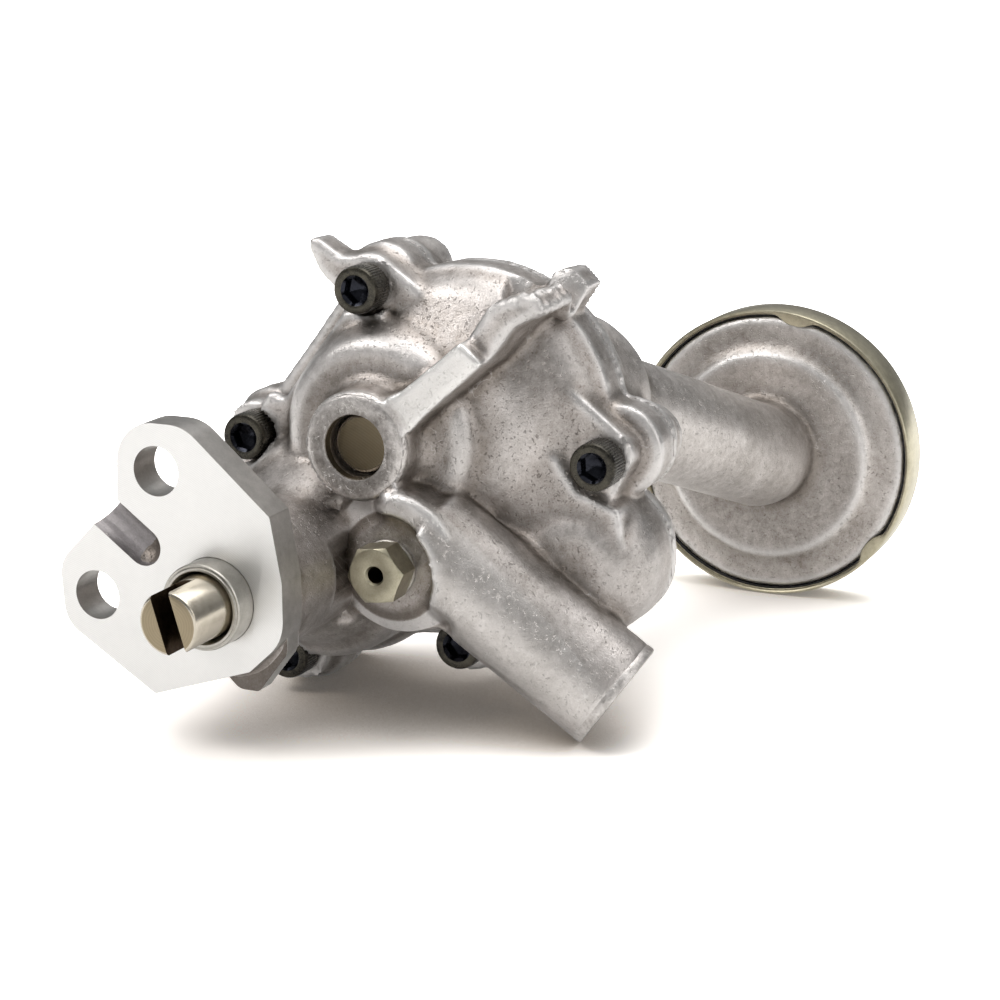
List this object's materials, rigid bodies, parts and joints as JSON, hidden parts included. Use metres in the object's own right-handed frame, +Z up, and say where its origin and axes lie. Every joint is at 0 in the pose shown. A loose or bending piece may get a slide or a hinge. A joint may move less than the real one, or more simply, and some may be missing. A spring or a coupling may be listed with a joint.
{
  "type": "engine oil pump",
  "caption": "Spur gear oil pump with slotted drive shaft, bolted mounting flange, delivery socket, relief valve, and a suction arm carrying a round strainer.",
  "frame": {"origin": "on the drive shaft's axis, in the machined mounting face of the flange", "axes": "-Y along the drive shaft, out of the mounting face; +Y back through gears and cover to the strainer; +Z up as the pump lies on a bench; +X towards the delivery socket and strainer"},
  "size_m": [0.1309, 0.1842, 0.0973],
  "materials": {
    "cast_aluminium": "satin",
    "ground_steel": "polished",
    "gear_steel": "satin",
    "spring_steel": "satin",
    "bush_steel": "satin",
    "soft_metal": "satin",
    "jet_brass": "satin",
    "black_steel": "satin",
    "screen_wire": "satin",
    "gold_plated_steel": "satin",
    "seal_rubber": "matte"
  },
  "bodies": {
    "housing": {"pump_body": "cast_aluminium", "pump_cover": "cast_aluminium", "front_bush": "bush_steel", "rear_bush": "bush_steel", "idler_shaft": "ground_steel", "relief_spring": "spring_steel", "relief_cap": "gear_steel", "relief_cap_washer": "soft_metal", "jet_plug": "jet_brass", "jet_plug_washer": "soft_metal", "cover_screws": "black_steel", "dowel_pins": "ground_steel", "strainer_screen": "screen_wire", "strainer_retainer": "gold_plated_steel", "strainer_seal": "seal_rubber"},
    "drive_train": {"drive_shaft": "ground_steel", "drive_gear": "gear_steel", "gear_key": "gear_steel", "gear_circlip": "spring_steel"},
    "idler": {"idler_gear": "gear_steel", "idler_bush": "bush_steel"},
    "relief_valve": {"relief_piston": "ground_steel"}
  },
  "joints": [
    {"name": "drive_spin", "type": "hinge", "parent": "housing", "child": "drive_train", "pos_m": [0, 0, 0], "axis": [0, 1, 0], "continuous": true},
    {"name": "idler_spin", "type": "hinge", "parent": "housing", "child": "idler", "pos_m": [0.0155, 0, 0.02569], "axis": [0, 1, 0], "continuous": true},
    {"name": "relief_slide", "type": "slide", "parent": "housing", "child": "relief_valve", "axis": [0, 1, 0], "range_m": [0, 0.006], "stiffness_N_per_m": 5000, "springref_m": -0.008, "deforming": ["relief_spring"]}
  ],
  "couplings": [
    {"joint": "idler_spin", "follows": "drive_spin", "ratio": -1}
  ]
}
